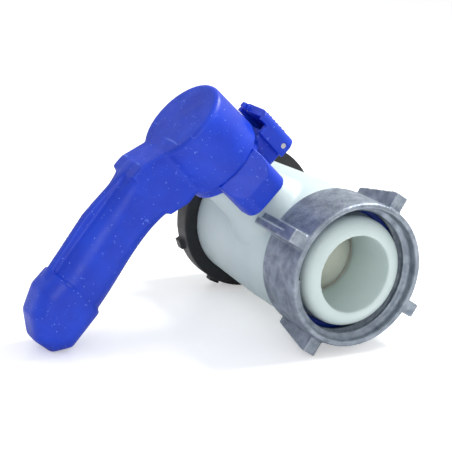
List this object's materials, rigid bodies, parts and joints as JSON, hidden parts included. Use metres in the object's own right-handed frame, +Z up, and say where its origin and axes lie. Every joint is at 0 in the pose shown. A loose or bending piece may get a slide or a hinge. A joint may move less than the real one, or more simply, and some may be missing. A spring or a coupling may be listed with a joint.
{
  "type": "ibc tank valve",
  "caption": "Quarter-turn ball valve for a bulk liquid tank: cast swivel nut, pale plastic body, blue lever with a thumb latch and a threaded outlet.",
  "frame": {"origin": "centre of the tank nut's open face, on the flow axis", "axes": "+Y runs along the flow axis out of the tank nut, +Z is up as the loose valve lies on a floor, so the stem leans towards +X"},
  "size_m": [0.2109, 0.1512, 0.1394],
  "materials": {
    "body_plastic": "satin moulded",
    "nut_metal": "die-cast, tumbled",
    "lever_plastic": "satin moulded",
    "gasket_rubber": "smooth",
    "ring_plastic": "moulded",
    "seat_plastic": "smooth",
    "ball_plastic": "smooth",
    "black_rubber": "smooth",
    "steel": "drawn",
    "snap_plastic": "moulded"
  },
  "bodies": {
    "valve_body": {"body": "body_plastic", "nut_retaining_ring": "snap_plastic", "tank_gasket": "gasket_rubber", "seat_front": "seat_plastic", "seat_rear": "seat_plastic", "seat_energizer_front": "black_rubber", "seat_energizer_rear": "black_rubber", "thrust_washer": "seat_plastic", "top_washer": "seat_plastic", "outlet_tail": "body_plastic", "tail_oring": "black_rubber", "ring_nut": "ring_plastic"},
    "lever_assembly": {"lever": "lever_plastic", "lever_claw": "lever_plastic", "latch_pin": "steel", "stem": "ball_plastic", "stem_oring_lower": "black_rubber", "stem_oring_upper": "black_rubber"},
    "ball": {"ball": "ball_plastic"},
    "latch": {"lock_latch": "lever_plastic"},
    "swivel_nut": {"tank_nut": "nut_metal"}
  },
  "joints": [
    {"name": "lever_turn", "type": "hinge", "parent": "valve_body", "child": "lever_assembly", "pos_m": [0, -0.0615, 0], "axis": [-0.7323, 0, -0.681], "range_deg": [0, 90]},
    {"name": "ball_turn", "type": "hinge", "parent": "valve_body", "child": "ball", "pos_m": [0, -0.0615, 0], "axis": [-0.7323, 0, -0.681], "range_deg": [0, 90]},
    {"name": "latch_press", "type": "hinge", "parent": "lever_assembly", "child": "latch", "pos_m": [0.02469, -0.0615, 0.06229], "axis": [0, 1, 0], "range_deg": [0, 7], "stiffness_Nm_per_rad": 0.4},
    {"name": "nut_spin", "type": "hinge", "parent": "valve_body", "child": "swivel_nut", "pos_m": [0, -0.018, 0], "axis": [0, 1, 0], "continuous": true}
  ],
  "couplings": [
    {"joint": "ball_turn", "follows": "lever_turn", "ratio": 1}
  ]
}
